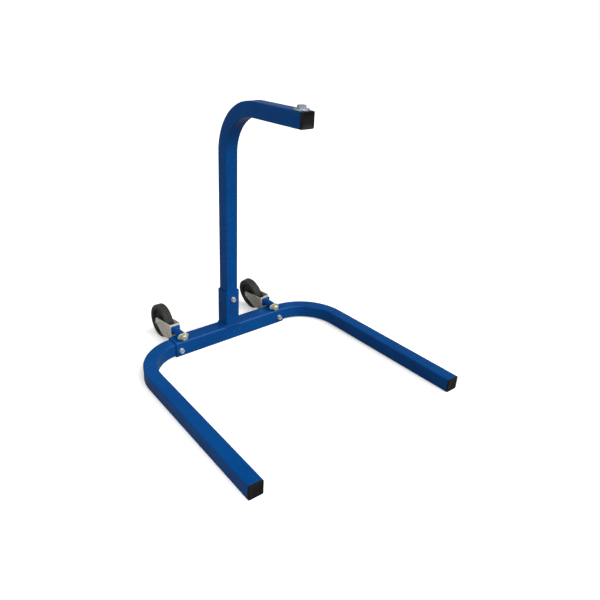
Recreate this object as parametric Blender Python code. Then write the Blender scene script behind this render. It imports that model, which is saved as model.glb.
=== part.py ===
# Paddock stand: a bent square-tube mast on a U-shaped base, with two fixed casters behind the crossbar.
# The origin is the centre of the crossbar's underside. +X runs along the crossbar, the legs and the arm
# point to -Y, and +Z is up. All lengths are in metres.

import math

import bmesh
import bpy
from mathutils import Matrix, Vector

GAP = 0.0003                # left between pieces that touch
RIGHT_ANGLE = math.radians(90)

# Square tubes: the crossbar and the mast's socket are one size, the legs and the mast the next size down
BAR_SIDE = 0.060
BAR_WALL = 0.004
BAR_CORNER = 0.006
BAR_LENGTH = 0.500
SOCKET_TOP = 0.205
TUBE_SIDE = 0.050
TUBE_WALL = 0.003
TUBE_CORNER = 0.005
BEND_RADIUS = 0.165         # to the tube's centre line, the same die for all three bends

# The two legs aren't bent quite alike: the left one starts its bend earlier and opens it a little
LEG_BEND_START = {"left": 0.2395, "right": 0.2525}    # from the stand's middle plane
LEG_BEND_ANGLE = {"left": math.radians(88.5), "right": RIGHT_ANGLE}
LEG_REACH = 0.750           # from the crossbar's centre line to the end of a leg tube
PLUG_IN = 0.120             # length of leg inside the crossbar
ARM_HEIGHT = 0.885          # of the arm's centre line
ARM_REACH = 0.400           # from the mast's centre line to the end of the arm tube

CAP_THICKNESS = 0.005
CAP_PLUG = 0.010
CAP_WALL = 0.0025

# Hexagon fasteners: shank diameter, width across flats, head height, nut height, washer diameter and thickness
M8 = {"shank": 0.008, "flats": 0.013, "head": 0.0053, "nut": 0.0065, "washer": 0.016, "thick": 0.0016}
M10 = {"shank": 0.010, "flats": 0.017, "head": 0.0064, "nut": 0.0084, "washer": 0.020, "thick": 0.0020}
M16 = {"shank": 0.016, "flats": 0.024, "head": 0.0100, "nut": 0.0130, "washer": 0.025, "thick": 0.0030}
ARM_WASHER = 0.048
OVAL_WASHER = 1.84          # width of the casters' oval washers over their height
HOLE_CLEARANCE = 0.0005     # round a bolt's shank, on the radius
BOLT_TAIL = 0.003           # thread that shows past a nut

LEG_BOLT_X = 0.230
LEG_BOLT_Z = 0.025
MAST_BOLT_Z = 0.172
ARM_BOLT_Y = -0.375
ARM_BOLT_LENGTH = 0.025

# Casters: one behind each end of the crossbar, both with the axle bolt's head on the left
CASTER_X = 0.213
AXLE_Y = 0.147
AXLE_Z = 0.0695
WHEEL_RADIUS = 0.065
TREAD_WIDTH = 0.035
TREAD_SHOULDER = 0.007
RIM_RADIUS = 0.049
RIM_WIDTH = 0.030
RIM_DEPTH = 0.005
WEB_THICKNESS = 0.016
BOSS_RADIUS = 0.015
BOSS_WIDTH = 0.036
BEARING_RADIUS = 0.009
AXLE_TUBE_RADIUS = 0.006
FORK_INNER = 0.038
FORK_WALL = 0.0025
FORK_BEND = 0.0055          # outer radius of the fork's two folded corners
FORK_TIP = 0.0155           # radius of the fork's round tip, about the axle
FORK_TOP_Z = 0.098
FORK_WEB_LOW_Z = 0.046
FORK_HEEL_Y = 0.064
FORK_HEEL_Z = 0.031
FORK_BELLY_Y = 0.108
FORK_BELLY_Z = 0.0275
FORK_LEAN = {"left": 0.0, "right": math.radians(11)}    # about the king bolt, top towards -X
SLEEVE_RADIUS = 0.01345
SLEEVE_FRONT_Y = -0.014
PLATE_Y = 0.038
PLATE_THICKNESS = 0.005
PLATE_WIDTH = 0.036
PLATE_TOP_Z = 0.091

RING_SIDES = 24
HEX_POINTS = 12             # six corners and six mid-edges
BEND_STEPS = 14

BAR_AXIS_Z = BAR_SIDE / 2
KING_BOLT_Z = BAR_SIDE + GAP + SLEEVE_RADIUS
WEB_Y = PLATE_Y + PLATE_THICKNESS + GAP
SIDES = (("left", -1), ("right", 1))


def clear_scene():
    for item in list(bpy.data.objects):
        bpy.data.objects.remove(item, do_unlink=True)


def finish(name, color, metallic, roughness):
    material = bpy.data.materials.new(name)
    material.use_nodes = True
    shader = material.node_tree.nodes["Principled BSDF"]
    shader.inputs["Base Color"].default_value = (*color, 1.0)
    shader.inputs["Metallic"].default_value = metallic
    shader.inputs["Roughness"].default_value = roughness
    return material


def add_object(name, bm, material, location=(0, 0, 0), rotation=(0, 0, 0), parent=None):
    bmesh.ops.recalc_face_normals(bm, faces=bm.faces)
    mesh = bpy.data.meshes.new(name)
    bm.to_mesh(mesh)
    bm.free()
    mesh.shade_smooth()
    mesh.set_sharp_from_angle(angle=math.radians(35))
    mesh.materials.append(material)
    part = bpy.data.objects.new(name, mesh)
    part.location = location
    part.rotation_euler = rotation
    part.parent = parent
    bpy.context.scene.collection.objects.link(part)
    return part


def combine(target, other, operation):
    # The other object stays as a hidden guide, which is not a piece of the stand
    other.hide_render = True
    other.display_type = "WIRE"
    step = target.modifiers.new(operation.title(), "BOOLEAN")
    step.operation = operation
    step.solver = "EXACT"
    step.object = other


def drill(target, radius, length, location, rotation):
    bm = bmesh.new()
    bmesh.ops.create_cone(bm, cap_ends=True, segments=HEX_POINTS, radius1=radius, radius2=radius, depth=length)
    cutter = add_object(target.name + "_drill", bm, target.data.materials[0], location, rotation, target.parent)
    combine(target, cutter, "DIFFERENCE")


def rounded_square(side, corner, steps=3):
    points = []
    for quarter in range(4):
        for step in range(steps + 1):
            angle = math.radians(90 * quarter + 90 * step / steps)
            centre_x = math.copysign(side / 2 - corner, math.cos(math.radians(90 * quarter + 45)))
            centre_y = math.copysign(side / 2 - corner, math.sin(math.radians(90 * quarter + 45)))
            points.append((centre_x + corner * math.cos(angle), centre_y + corner * math.sin(angle)))
    return points


def with_edges(faces):
    return faces + list({edge for face in faces for edge in face.edges})


def push_faces(bm, faces, offset):
    grown = bmesh.ops.extrude_face_region(bm, geom=with_edges(faces))["geom"]
    moved = [item for item in grown if isinstance(item, bmesh.types.BMVert)]
    bmesh.ops.translate(bm, verts=moved, vec=offset)
    return [item for item in grown if isinstance(item, bmesh.types.BMFace)]


def square_tube(side, wall, corner, start, along, length, radius=0.0, after=0.0, angle=RIGHT_ANGLE):
    # A straight tube or, with a radius, one that then bends towards -Y and runs on
    bm = bmesh.new()
    start = Vector(start)
    along = Vector(along)
    across = Vector((0, -1, 0))
    up = along.cross(across)
    outer, inner = (
        [bm.verts.new(start + across * u + up * v) for u, v in rounded_square(size, size_corner)]
        for size, size_corner in ((side, corner), (side - 2 * wall, corner - wall))
    )
    end = [bm.faces.new((outer[i - 1], outer[i], inner[i], inner[i - 1])) for i in range(len(outer))]
    end = push_faces(bm, end, along * length)
    if radius:
        centre = start + along * length + across * radius
        turned_end = bmesh.ops.spin(
            bm, geom=with_edges(end), cent=centre, axis=up, angle=angle, steps=BEND_STEPS
        )["geom_last"]
        end = [item for item in turned_end if isinstance(item, bmesh.types.BMFace)]
        push_faces(bm, end, (along * math.cos(angle) + across * math.sin(angle)) * after)
    return bm


def circle_ring(radius, height, count=HEX_POINTS, stretch=1.0):
    angles = [math.tau * i / count for i in range(count)]
    return [(stretch * radius * math.cos(angle), radius * math.sin(angle), height) for angle in angles]


def hex_ring(flats, height):
    # Corners and mid-edges in turn, so that it meets a round ring point for point
    ring = []
    for i in range(HEX_POINTS):
        radius = flats / 2 if i % 2 else flats / 2 / math.cos(math.radians(30))
        angle = math.tau * i / HEX_POINTS
        ring.append((radius * math.cos(angle), radius * math.sin(angle), height))
    return ring


def stacked(rings, hollow=False):
    # Skins one ring to the next. A hollow stack runs back to its first ring, a solid one gets two end faces
    bm = bmesh.new()
    levels = [[bm.verts.new(point) for point in ring] for ring in rings]
    pairs = list(zip(levels, levels[1:]))
    if hollow:
        pairs.append((levels[-1], levels[0]))
    else:
        bm.faces.new(levels[0])
        bm.faces.new(levels[-1])
    for lower, upper in pairs:
        for i in range(len(lower)):
            bm.faces.new((lower[i - 1], lower[i], upper[i], upper[i - 1]))
    return bm


def bolt_body(size, length):
    # The underside of the head is at 0, the head rises to +Z and the shank goes down
    radius = size["shank"] / 2
    return stacked([
        circle_ring(radius, -length),
        circle_ring(radius, 0),
        hex_ring(size["flats"], 0),
        hex_ring(size["flats"], size["head"] * 0.85),
        circle_ring(size["flats"] * 0.46, size["head"]),
    ])


def nut_body(size):
    bore = size["shank"] / 2 + GAP
    return stacked([
        circle_ring(bore, 0),
        hex_ring(size["flats"], 0),
        hex_ring(size["flats"], size["nut"]),
        circle_ring(bore, size["nut"]),
    ], hollow=True)


def washer_body(size, diameter=None, stretch=1.0):
    bore = size["shank"] / 2 + GAP
    outside = (diameter or size["washer"]) / 2
    return stacked([
        circle_ring(bore, 0, RING_SIDES),
        circle_ring(outside, 0, RING_SIDES, stretch),
        circle_ring(outside, size["thick"], RING_SIDES, stretch),
        circle_ring(bore, size["thick"], RING_SIDES),
    ], hollow=True)


def turned(profile):
    # Spins a closed outline of (radius, height) points about Z
    bm = bmesh.new()
    verts = [bm.verts.new((radius, 0, height)) for radius, height in profile]
    outline = verts + [bm.edges.new((verts[i - 1], verts[i])) for i in range(len(verts))]
    bmesh.ops.spin(bm, geom=outline, cent=(0, 0, 0), axis=(0, 0, 1), angle=math.tau, steps=RING_SIDES)
    bmesh.ops.remove_doubles(bm, verts=bm.verts, dist=0.00001)
    return bm


def through_bolt(name, size, half_span, centre, bolt_finish):
    # A bolt along Y through a square tube: head and washer in front, washer and nut behind
    x, y, z = centre
    face = half_span + GAP
    stack = face + size["thick"] + GAP
    length = 2 * stack + size["nut"] + GAP + BOLT_TAIL
    facing_front = (math.radians(90), 0, 0)
    facing_back = (math.radians(-90), 0, 0)
    add_object(name + "_bolt", bolt_body(size, length), bolt_finish, (x, y - stack, z), facing_front)
    add_object(name + "_bolt_washer", washer_body(size), bolt_finish, (x, y - face, z), facing_front)
    add_object(name + "_nut_washer", washer_body(size), bolt_finish, (x, y + face, z), facing_back)
    add_object(name + "_nut", nut_body(size), bolt_finish, (x, y + stack, z), facing_back)


def end_cap(name, location, rotation, rubber, parent=None):
    # A square plug: the flange's outer face looks to +Z and the hollow plug goes down inside the tube
    flange = TUBE_SIDE - 2 * GAP
    plug = TUBE_SIDE - 2 * TUBE_WALL - 2 * GAP
    hollow = plug - 2 * CAP_WALL
    levels = (
        (hollow, GAP, 0.001),
        (hollow, -CAP_PLUG, 0.001),
        (plug, -CAP_PLUG, 0.002),
        (plug, GAP, 0.002),
        (flange, GAP, TUBE_CORNER),
        (flange, CAP_THICKNESS - 0.001, TUBE_CORNER),
        (flange - 0.002, CAP_THICKNESS, TUBE_CORNER - 0.001),
    )
    rings = [[(x, y, height) for x, y in rounded_square(side, corner)] for side, height, corner in levels]
    return add_object(name, stacked(rings), rubber, location, rotation, parent)


def base_and_mast(paint, zinc, plastic):
    bar = add_object(
        "crossbar",
        square_tube(BAR_SIDE, BAR_WALL, BAR_CORNER, (-BAR_LENGTH / 2, 0, 0), (1, 0, 0), BAR_LENGTH),
        paint, (0, 0, BAR_AXIS_Z),
    )
    socket_foot = BAR_SIDE + GAP
    socket = add_object(
        "mast_socket",
        square_tube(BAR_SIDE, BAR_WALL, BAR_CORNER, (0, 0, 0), (0, 0, 1), SOCKET_TOP - socket_foot),
        paint, (0, 0, socket_foot),
    )
    mast_foot = socket_foot + GAP
    mast = add_object(
        "mast",
        square_tube(
            TUBE_SIDE, TUBE_WALL, TUBE_CORNER, (0, 0, mast_foot), (0, 0, 1),
            ARM_HEIGHT - BEND_RADIUS - mast_foot, BEND_RADIUS, ARM_REACH - BEND_RADIUS,
        ),
        paint,
    )
    across = (math.radians(90), 0, 0)
    hole = M10["shank"] / 2 + HOLE_CLEARANCE
    for tube in (socket, mast):
        drill(tube, hole, 2 * BAR_SIDE, (0, 0, MAST_BOLT_Z), across)
    through_bolt("mast", M10, BAR_SIDE / 2, (0, 0, MAST_BOLT_Z), zinc)
    end_cap("arm_cap", (0, -ARM_REACH, ARM_HEIGHT), across, plastic)

    # The legs are a sliding fit in the crossbar and hang down in it until their far ends meet the floor
    sag = math.atan2(BAR_AXIS_Z - TUBE_SIDE / 2, LEG_REACH)
    plug_x = BAR_LENGTH / 2 - PLUG_IN
    for side, sign in SIDES:
        start = LEG_BEND_START[side]
        angle = LEG_BEND_ANGLE[side]
        straight = (LEG_REACH - BEND_RADIUS * (1 - math.cos(angle))) / math.sin(angle)
        end_x = start + BEND_RADIUS * math.sin(angle) + straight * math.cos(angle)
        leg = add_object(
            side + "_leg",
            square_tube(
                TUBE_SIDE, TUBE_WALL, TUBE_CORNER, (sign * plug_x, 0, 0), (sign, 0, 0),
                start - plug_x, BEND_RADIUS, straight, angle,
            ),
            paint, (0, 0, BAR_AXIS_Z), (sag, 0, 0),
        )
        for tube in (bar, leg):
            drill(tube, hole, 2 * BAR_SIDE, (sign * LEG_BOLT_X, 0, LEG_BOLT_Z), across)
        through_bolt(side + "_leg", M10, BAR_SIDE / 2, (sign * LEG_BOLT_X, 0, LEG_BOLT_Z), zinc)
        facing = (RIGHT_ANGLE, 0, sign * (RIGHT_ANGLE - angle))
        end_cap(side + "_leg_cap", (sign * end_x, -LEG_REACH, 0), facing, plastic, leg)

    arm_top = ARM_HEIGHT + TUBE_SIDE / 2
    drill(mast, M16["shank"] / 2 + HOLE_CLEARANCE, 0.02, (0, ARM_BOLT_Y, arm_top), (0, 0, 0))
    washer_foot = arm_top + GAP
    head_foot = washer_foot + M16["thick"] + GAP
    nut_top = arm_top - TUBE_WALL - GAP
    add_object("arm_washer", washer_body(M16, ARM_WASHER), zinc, (0, ARM_BOLT_Y, washer_foot))
    add_object("arm_bolt", bolt_body(M16, ARM_BOLT_LENGTH), zinc, (0, ARM_BOLT_Y, head_foot))
    add_object("arm_inner_nut", nut_body(M16), zinc, (0, ARM_BOLT_Y, nut_top - M16["nut"]))


def box_body(low, high):
    bm = bmesh.new()
    bmesh.ops.create_cube(bm, size=1.0)
    size = Vector(high) - Vector(low)
    middle = (Vector(high) + Vector(low)) / 2
    bmesh.ops.transform(bm, matrix=Matrix.Translation(middle) @ Matrix.Diagonal(size).to_4x4(), verts=bm.verts)
    return bm


def extruded(outline, offset):
    # A flat outline of points pushed along the offset into a closed prism
    offset = Vector(offset)
    return stacked([outline, [Vector(point) + offset for point in outline]])


def caster_bracket(side, middle, paint):
    # A sleeve that lies across the top of the crossbar, with an upright plate on its rear end
    lying = (math.radians(-90), 0, 0)
    sleeve = stacked([
        circle_ring(SLEEVE_RADIUS, SLEEVE_FRONT_Y, RING_SIDES),
        circle_ring(SLEEVE_RADIUS, PLATE_Y + PLATE_THICKNESS / 2, RING_SIDES),
    ])
    bracket = add_object(side + "_caster_bracket", sleeve, paint, (middle, 0, KING_BOLT_Z), lying)
    half = PLATE_WIDTH / 2
    plate = add_object(
        side + "_plate_guide",
        box_body((-half, PLATE_Y, BAR_SIDE + GAP), (half, PLATE_Y + PLATE_THICKNESS, PLATE_TOP_Z)),
        paint, (middle, 0, 0),
    )
    combine(bracket, plate, "UNION")
    drill(bracket, M16["shank"] / 2 + HOLE_CLEARANCE, 0.2, (middle, 0, KING_BOLT_Z), lying)


def tangent_angle(corner_y, corner_z):
    # Direction from the axle to where a line from the corner touches the tip's circle
    away = Vector((corner_y - AXLE_Y, corner_z - AXLE_Z))
    swing = math.acos(FORK_TIP / away.length)
    return math.atan2(away.y, away.x), swing


def fork_outline(x):
    # Side view, from the lower corner of the web round by the heel, the tip and the top
    low_direction, low_swing = tangent_angle(FORK_BELLY_Y, FORK_BELLY_Z)
    top_direction, top_swing = tangent_angle(WEB_Y, FORK_TOP_Z)
    first = low_direction + low_swing
    last = top_direction - top_swing + math.tau * (top_direction - top_swing < low_direction + low_swing)
    steps = 12
    points = [
        (x, WEB_Y, FORK_TOP_Z), (x, WEB_Y, FORK_WEB_LOW_Z), (x, FORK_HEEL_Y, FORK_HEEL_Z),
        (x, FORK_BELLY_Y, FORK_BELLY_Z),
    ]
    for step in range(steps + 1):
        angle = first + (last - first) * step / steps
        points.append((x, AXLE_Y + FORK_TIP * math.cos(angle), AXLE_Z + FORK_TIP * math.sin(angle)))
    return points


def fork_section(height):
    # Plan view of the folded strip: a U that opens to +Y, with rounded corners
    half = FORK_INNER / 2 + FORK_WALL
    far = AXLE_Y + 2 * FORK_TIP
    steps = 4

    def corner(sign, radius, inset):
        points = []
        for step in range(steps + 1):
            angle = math.radians(90 * step / steps)
            x = sign * (half - inset - radius + radius * math.cos(angle))
            points.append((x, WEB_Y + inset + radius - radius * math.sin(angle), height))
        return points

    outer_right = corner(1, FORK_BEND, 0)
    outer_left = corner(-1, FORK_BEND, 0)[::-1]
    inner_left = corner(-1, FORK_BEND - FORK_WALL, FORK_WALL)
    inner_right = corner(1, FORK_BEND - FORK_WALL, FORK_WALL)[::-1]
    inside = half - FORK_WALL
    return [
        (half, far, height), *outer_right, *outer_left, (-half, far, height),
        (-inside, far, height), *inner_left, *inner_right, (inside, far, height),
    ]


def caster_swivel(side, middle):
    # An empty on the king bolt's axis, which the fork and all that it holds lean about
    swivel = bpy.data.objects.new(side + "_caster_swivel", None)
    swivel.location = (middle, 0, KING_BOLT_Z)
    swivel.rotation_euler = (0, -FORK_LEAN[side], 0)
    bpy.context.scene.collection.objects.link(swivel)
    return swivel


def caster_fork(side, swivel, zinc):
    # The folded strip keeps only what lies inside its side view
    low = FORK_BELLY_Z - 0.01
    origin = (0, 0, -KING_BOLT_Z)
    fork = add_object(
        side + "_caster_fork",
        extruded(fork_section(low), (0, 0, FORK_TOP_Z + 0.01 - low)),
        zinc, origin, parent=swivel,
    )
    side_view = add_object(
        side + "_fork_guide", extruded(fork_outline(-FORK_INNER), (2 * FORK_INNER, 0, 0)), zinc, origin,
        parent=swivel,
    )
    combine(fork, side_view, "INTERSECT")
    lying = (math.radians(-90), 0, 0)
    drill(fork, M16["shank"] / 2 + HOLE_CLEARANCE, 0.03, (0, WEB_Y, 0), lying)
    sideways = (0, math.radians(90), 0)
    drill(fork, M8["shank"] / 2 + HOLE_CLEARANCE, 0.1, (0, AXLE_Y, AXLE_Z - KING_BOLT_Z), sideways)


def king_bolt(side, middle, zinc, yellow_zinc):
    # Its head is inside the fork, and the nut is at the front end of the sleeve
    front = (math.radians(90), 0, 0)
    back = (math.radians(-90), 0, 0)
    head_y = WEB_Y + FORK_WALL + GAP
    washer_y = SLEEVE_FRONT_Y - GAP
    nut_y = washer_y - M16["thick"] - GAP
    length = head_y - nut_y + M16["nut"] + BOLT_TAIL
    add_object(side + "_caster_bolt", bolt_body(M16, length), zinc, (middle, head_y, KING_BOLT_Z), back)
    oval = washer_body(M16, stretch=OVAL_WASHER)
    add_object(side + "_caster_washer", oval, zinc, (middle, washer_y, KING_BOLT_Z), front)
    add_object(side + "_caster_nut", nut_body(M16), yellow_zinc, (middle, nut_y, KING_BOLT_Z), front)


def wheel_and_axle(side, swivel, zinc, rubber, plastic):
    # The parts that roll are centred on the wheel's own axis and hang from an empty on it
    height = AXLE_Z - KING_BOLT_Z
    centre = (0, AXLE_Y, height)
    sideways = (0, math.radians(90), 0)
    axis = bpy.data.objects.new(side + "_wheel_axis", None)
    axis.location = centre
    axis.rotation_euler = sideways
    axis.parent = swivel
    bpy.context.scene.collection.objects.link(axis)

    half_tread = TREAD_WIDTH / 2
    inner = RIM_RADIUS + GAP
    tyre = [(inner, -RIM_WIDTH / 2), (inner, RIM_WIDTH / 2), (inner + 0.004, half_tread)]
    for end in (1, -1):
        for step in range(4):
            turn = math.radians(30 * step)
            share = (turn if end > 0 else math.radians(90) - turn)
            radius = WHEEL_RADIUS - TREAD_SHOULDER + TREAD_SHOULDER * math.sin(share)
            tyre.append((radius, end * (half_tread - TREAD_SHOULDER + TREAD_SHOULDER * math.cos(share))))
    tyre.append((inner + 0.004, -half_tread))
    add_object(side + "_tyre", turned(tyre), rubber, parent=axis)

    bore = BEARING_RADIUS + GAP
    half = [
        (bore, BOSS_WIDTH / 2), (BOSS_RADIUS, BOSS_WIDTH / 2), (BOSS_RADIUS + 0.002, WEB_THICKNESS / 2),
        (RIM_RADIUS - RIM_DEPTH - 0.001, WEB_THICKNESS / 2), (RIM_RADIUS - RIM_DEPTH, RIM_WIDTH / 2),
        (RIM_RADIUS, RIM_WIDTH / 2),
    ]
    hub = half + [(radius, -height) for radius, height in reversed(half)]
    add_object(side + "_wheel_hub", turned(hub), plastic, parent=axis)

    def sleeve(outside, inside, width):
        return turned([(inside, -width / 2), (outside, -width / 2), (outside, width / 2), (inside, width / 2)])

    bearing = sleeve(BEARING_RADIUS, AXLE_TUBE_RADIUS + GAP, BOSS_WIDTH)
    add_object(side + "_wheel_bearing", bearing, plastic, parent=axis)
    spacer = sleeve(AXLE_TUBE_RADIUS, M8["shank"] / 2 + GAP, FORK_INNER - 2 * GAP)
    add_object(side + "_axle_tube", spacer, zinc, centre, sideways, swivel)

    face = FORK_INNER / 2 + FORK_WALL + GAP
    length = 2 * face + M8["nut"] + GAP + 0.002
    to_left = (0, math.radians(-90), 0)
    add_object(side + "_axle_bolt", bolt_body(M8, length), zinc, (-face, AXLE_Y, height), to_left, swivel)
    add_object(side + "_axle_nut", nut_body(M8), zinc, (face, AXLE_Y, height), sideways, swivel)


def main():
    clear_scene()
    paint = finish("blue_enamel", (0.003, 0.060, 0.235), 0.0, 0.25)
    zinc = finish("bright_zinc", (0.60, 0.61, 0.60), 1.0, 0.32)
    yellow_zinc = finish("yellow_zinc", (0.62, 0.52, 0.24), 1.0, 0.35)
    plastic = finish("black_plastic", (0.010, 0.010, 0.011), 0.0, 0.45)
    rubber = finish("black_rubber", (0.014, 0.014, 0.013), 0.0, 0.75)
    base_and_mast(paint, zinc, plastic)
    for side, sign in SIDES:
        middle = sign * CASTER_X
        caster_bracket(side, middle, paint)
        swivel = caster_swivel(side, middle)
        caster_fork(side, swivel, zinc)
        king_bolt(side, middle, zinc, yellow_zinc)
        wheel_and_axle(side, swivel, zinc, rubber, plastic)


main()
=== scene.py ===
import math

import bmesh
import bpy
from mathutils import Matrix, Vector


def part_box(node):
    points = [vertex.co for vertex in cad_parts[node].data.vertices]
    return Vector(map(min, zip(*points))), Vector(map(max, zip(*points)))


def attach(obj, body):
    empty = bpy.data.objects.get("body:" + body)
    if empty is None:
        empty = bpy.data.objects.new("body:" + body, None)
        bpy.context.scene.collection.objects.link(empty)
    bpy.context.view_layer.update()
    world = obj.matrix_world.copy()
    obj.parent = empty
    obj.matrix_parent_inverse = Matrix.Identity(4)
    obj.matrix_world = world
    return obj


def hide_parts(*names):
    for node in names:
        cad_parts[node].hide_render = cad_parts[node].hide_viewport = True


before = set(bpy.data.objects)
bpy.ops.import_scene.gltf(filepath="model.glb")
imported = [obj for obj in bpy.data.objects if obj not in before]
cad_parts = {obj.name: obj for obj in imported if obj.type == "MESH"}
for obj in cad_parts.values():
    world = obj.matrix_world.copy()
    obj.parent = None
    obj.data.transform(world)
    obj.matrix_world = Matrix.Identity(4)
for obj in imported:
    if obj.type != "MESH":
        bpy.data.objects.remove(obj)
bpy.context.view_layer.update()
print("frame loaded:", len(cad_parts), "solids")

sides = (("left", -1), ("right", 1))
mm = 0.001


# Camera, floor and light
cameraSettings = {
    "azimuth": -38.30,
    "elevation": 26.48,
    "roll": 1.71,
    "distance": 2.078,
    "target": (0.04525, -0.200, 0.22626),
    "lens": 34.61,
    "shift": 0.05,
}

studio = {
    "floorColour": "F2F2F1",
    "floorBounce": "7A7A79",    # as the stand sees it, so that it doesn't wash the paint out
    "skyFill": 0.20,        # what lights the stand
    "skySeen": 1.0,         # what shows behind it
    "sunStrength": 4.4,
    "sunFrom": (0.36, -0.78, 0.80),
    "sunWidth": 75,         # degrees, wide for soft shadows
    "paperGlow": 0.30,      # keeps the paper white between the stand's shadows
    "cardPower": 34,
    "cardPlace": (-2.4, -0.9, 1.5),
    "cardAim": (0, -0.1, 0.45),
    "cardSize": (1.5, 1.5),
    "floorRadius": 40.0,
}


def linear(hexColour):
    # sRGB hex to linear
    channels = [int(hexColour[i:i + 2], 16) / 255 for i in (0, 2, 4)]
    return tuple(c / 12.92 if c <= 0.04045 else ((c + 0.055) / 1.055) ** 2.4 for c in channels) + (1.0,)


def toward(axis):
    # Turns +Z to the axis
    return Vector(axis).to_track_quat("Z", "Y").to_matrix().to_4x4()


def addObject(name, data):
    thing = bpy.data.objects.new(name, data)
    bpy.context.scene.collection.objects.link(thing)
    return thing


def addNode(tree, kind, settings=None, inputs=None, links=None):
    # One node with its properties, its input values and what feeds it
    node = tree.nodes.new(kind)
    for name, value in (settings or {}).items():
        setattr(node, name, value)
    for name, value in (inputs or {}).items():
        node.inputs[name].default_value = value
    for name, source in (links or {}).items():
        tree.links.new(source, node.inputs[name])
    return node


def scaled(tree, source, factor):
    node = addNode(tree, "ShaderNodeMath", {"operation": "MULTIPLY"})
    tree.links.new(source, node.inputs[0])
    node.inputs[1].default_value = factor
    return node.outputs[0]


def placeCamera():
    s = cameraSettings
    a, e = math.radians(s["azimuth"]), math.radians(s["elevation"])
    back = Vector((math.sin(a) * math.cos(e), -math.cos(a) * math.cos(e), math.sin(e)))
    data = bpy.data.cameras.new("viewCamera")
    data.lens = s["lens"]
    data.sensor_width = 36
    data.shift_x = s["shift"]
    data.clip_start = 0.01
    cam = addObject("viewCamera", data)
    turned = toward(back) @ Matrix.Rotation(math.radians(s["roll"]), 4, "Z")
    cam.matrix_world = Matrix.Translation(Vector(s["target"]) + back * s["distance"]) @ turned
    bpy.context.scene.camera = cam


def placeCard():
    # A white softbox on the left, which also shows in the plated parts
    data = bpy.data.lights.new("leftCard", "AREA")
    data.shape = "RECTANGLE"
    data.size, data.size_y = studio["cardSize"]
    data.energy = studio["cardPower"]
    lamp = addObject("leftCard", data)
    lamp.visible_camera = False
    lamp.location = studio["cardPlace"]
    aim = Vector(studio["cardAim"]) - Vector(studio["cardPlace"])
    lamp.rotation_euler = aim.to_track_quat("-Z", "Y").to_euler()


def placeSun():
    data = bpy.data.lights.new("softSun", "SUN")
    data.energy = studio["sunStrength"]
    data.angle = math.radians(studio["sunWidth"])
    sun = addObject("softSun", data)
    sun.rotation_euler = Vector(studio["sunFrom"]).to_track_quat("Z", "Y").to_euler()


def paintSky():
    world = bpy.data.worlds.new("paleStudio")
    world.use_nodes = True
    tree = world.node_tree
    tree.nodes.clear()
    rays = addNode(tree, "ShaderNodeLightPath")
    mix = addNode(tree, "ShaderNodeMixShader", links={"Fac": rays.outputs["Is Camera Ray"]})
    for i, strength in ((1, studio["skyFill"]), (2, studio["skySeen"])):
        sky = addNode(tree, "ShaderNodeBackground", inputs={"Color": (1, 1, 1, 1), "Strength": strength})
        tree.links.new(sky.outputs[0], mix.inputs[i])
    addNode(tree, "ShaderNodeOutputWorld", links={"Surface": mix.outputs[0]})
    bpy.context.scene.world = world


def makePaper():
    # Seamless background paper, dull and nearly white; only the camera sees it at its full paleness
    material, tree, where = startFinish("paleFloorPaper")
    seen = addNode(tree, "ShaderNodeLightPath").outputs["Is Camera Ray"]
    colours = {"A": linear(studio["floorBounce"]), "B": linear(studio["floorColour"])}
    paper = addNode(tree, "ShaderNodeMix", {"data_type": "RGBA"}, colours, {"Factor": seen})
    return endFinish(material, {
        "Base Color": paper.outputs["Result"],
        "Normal": bumps(tree, (noise(tree, where, 1 / 300, 2.0), 0.0002, 0.1)),
        "Emission Strength": scaled(tree, seen, studio["paperGlow"]),
    }, {"Emission Color": (1, 1, 1, 1), "Roughness": 0.9, "Specular IOR Level": 0.1})


def buildStudio():
    scene = bpy.context.scene
    scene.view_settings.view_transform = "Standard"
    scene.view_settings.look = "None"
    paintSky()
    placeSun()
    placeCard()
    bm = bmesh.new()
    bmesh.ops.create_circle(bm, cap_ends=True, segments=96, radius=studio["floorRadius"])
    floor = newPiece("paleFloor", bm, makePaper(), smooth=False)


# Mesh helpers
def newPiece(name, bm, material, smooth=True, sharp=38):
    mesh = bpy.data.meshes.new(name)
    bm.to_mesh(mesh)
    bm.free()
    if smooth:
        mesh.shade_smooth()
        mesh.set_sharp_from_angle(angle=math.radians(sharp))
    mesh.materials.append(material)
    return addObject(name, mesh)


def settle(piece, body, slotName, *cadNodes):
    # Hands a finished piece to the frame
    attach(piece, body)
    if cadNodes:
        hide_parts(*cadNodes)


def skin(bm, rings, closed=False):
    # Quads from ring to ring; closed joins the last ring to the first, otherwise both ends are filled
    levels = [[bm.verts.new(p) for p in ring] for ring in rings]
    pairs = list(zip(levels, levels[1:]))
    if closed:
        pairs.append((levels[-1], levels[0]))
    for low, high in pairs:
        for i in range(len(low)):
            bm.faces.new((low[i - 1], low[i], high[i], high[i - 1]))
    if not closed:
        bm.faces.new(levels[0])
        bm.faces.new(levels[-1])


def outward(bm):
    bmesh.ops.remove_doubles(bm, verts=bm.verts, dist=0.000002)
    bmesh.ops.recalc_face_normals(bm, faces=bm.faces)
    return bm


def move(bm, matrix):
    bmesh.ops.transform(bm, matrix=matrix, verts=bm.verts)
    return bm


def takeIn(bm, mesh):
    # Adds the mesh to the shape and clears it away
    bm.from_mesh(mesh)
    bpy.data.meshes.remove(mesh)


def roundRing(radius, height, count=48, stretch=1.0):
    turns = [math.tau * i / count for i in range(count)]
    return [Vector((stretch * radius * math.cos(a), radius * math.sin(a), height)) for a in turns]


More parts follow.
